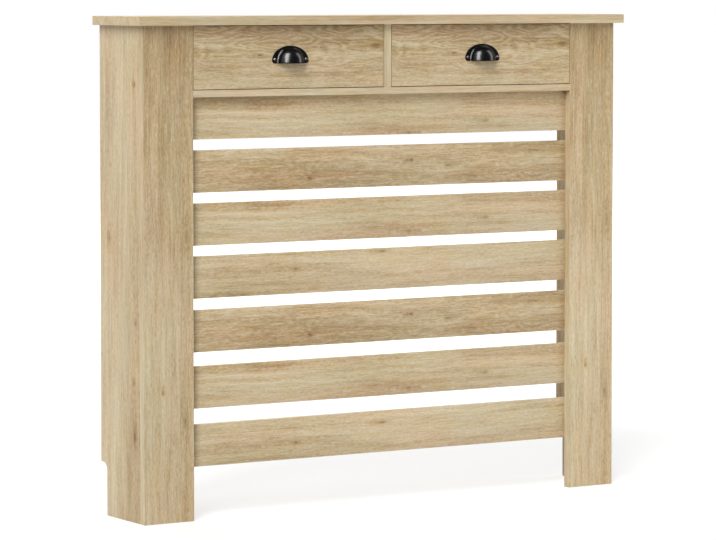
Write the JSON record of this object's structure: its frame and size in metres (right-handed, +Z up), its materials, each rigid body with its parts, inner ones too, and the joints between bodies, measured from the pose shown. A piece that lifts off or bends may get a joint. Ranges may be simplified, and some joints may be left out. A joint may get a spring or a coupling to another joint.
{
  "type": "radiator cover cabinet",
  "caption": "Oak-effect radiator cover with a slatted front, notched side panels and small drawers with black cup pulls under its top panel.",
  "frame": {"origin": "on the floor, in the middle of the cabinet's box, pulls included", "axes": "+X to the right as seen from the room, +Y towards the wall, +Z up"},
  "size_m": [1.02, 0.1836, 0.88],
  "materials": {
    "oak_foil_board": "satin oak-effect foil on board",
    "hardboard": "smooth-faced hardboard",
    "black_cast_metal": "gloss black lacquer on a cast cup",
    "black_steel": "blackened steel, worn bright on the head",
    "zinc_plated_steel": "bright zinc plating",
    "cast_zinc": "plain die-cast zinc"
  },
  "bodies": {
    "carcass": {"top_panel": "oak_foil_board", "left_side_panel": "oak_foil_board", "right_side_panel": "oak_foil_board", "left_front_stile": "oak_foil_board", "right_front_stile": "oak_foil_board", "slat_1": "oak_foil_board", "slat_2": "oak_foil_board", "slat_3": "oak_foil_board", "slat_4": "oak_foil_board", "slat_5": "oak_foil_board", "slat_6": "oak_foil_board", "slat_7": "oak_foil_board", "drawer_shelf": "oak_foil_board", "centre_divider": "oak_foil_board", "left_partition": "oak_foil_board", "right_partition": "oak_foil_board", "compartment_back": "oak_foil_board", "slat_1_left_screw": "zinc_plated_steel", "slat_1_right_screw": "zinc_plated_steel", "slat_2_left_screw": "zinc_plated_steel", "slat_2_right_screw": "zinc_plated_steel", "slat_3_left_screw": "zinc_plated_steel", "slat_3_right_screw": "zinc_plated_steel", "slat_4_left_screw": "zinc_plated_steel", "slat_4_right_screw": "zinc_plated_steel", "slat_5_left_screw": "zinc_plated_steel", "slat_5_right_screw": "zinc_plated_steel", "slat_6_left_screw": "zinc_plated_steel", "slat_6_right_screw": "zinc_plated_steel", "slat_7_left_screw": "zinc_plated_steel", "slat_7_right_screw": "zinc_plated_steel", "left_wall_bracket": "zinc_plated_steel", "right_wall_bracket": "zinc_plated_steel", "left_bracket_screw": "zinc_plated_steel", "right_bracket_screw": "zinc_plated_steel", "left_cam_lock_1": "cast_zinc", "left_cam_lock_2": "cast_zinc", "left_cam_lock_3": "cast_zinc", "left_cam_lock_4": "cast_zinc", "right_cam_lock_1": "cast_zinc", "right_cam_lock_2": "cast_zinc", "right_cam_lock_3": "cast_zinc", "right_cam_lock_4": "cast_zinc"},
    "left_drawer": {"left_drawer_front": "oak_foil_board", "left_drawer_left_side": "oak_foil_board", "left_drawer_right_side": "oak_foil_board", "left_drawer_back": "oak_foil_board", "left_drawer_bottom": "hardboard", "left_cup_pull": "black_cast_metal", "left_pull_left_screw": "black_steel", "left_pull_right_screw": "black_steel"},
    "right_drawer": {"right_drawer_front": "oak_foil_board", "right_drawer_left_side": "oak_foil_board", "right_drawer_right_side": "oak_foil_board", "right_drawer_back": "oak_foil_board", "right_drawer_bottom": "hardboard", "right_cup_pull": "black_cast_metal", "right_pull_left_screw": "black_steel", "right_pull_right_screw": "black_steel"}
  },
  "joints": [
    {"name": "left_drawer_slide", "type": "slide", "parent": "carcass", "child": "left_drawer", "axis": [0, -1, 0], "range_m": [0, 0.1]},
    {"name": "right_drawer_slide", "type": "slide", "parent": "carcass", "child": "right_drawer", "axis": [0, -1, 0], "range_m": [0, 0.1]}
  ]
}
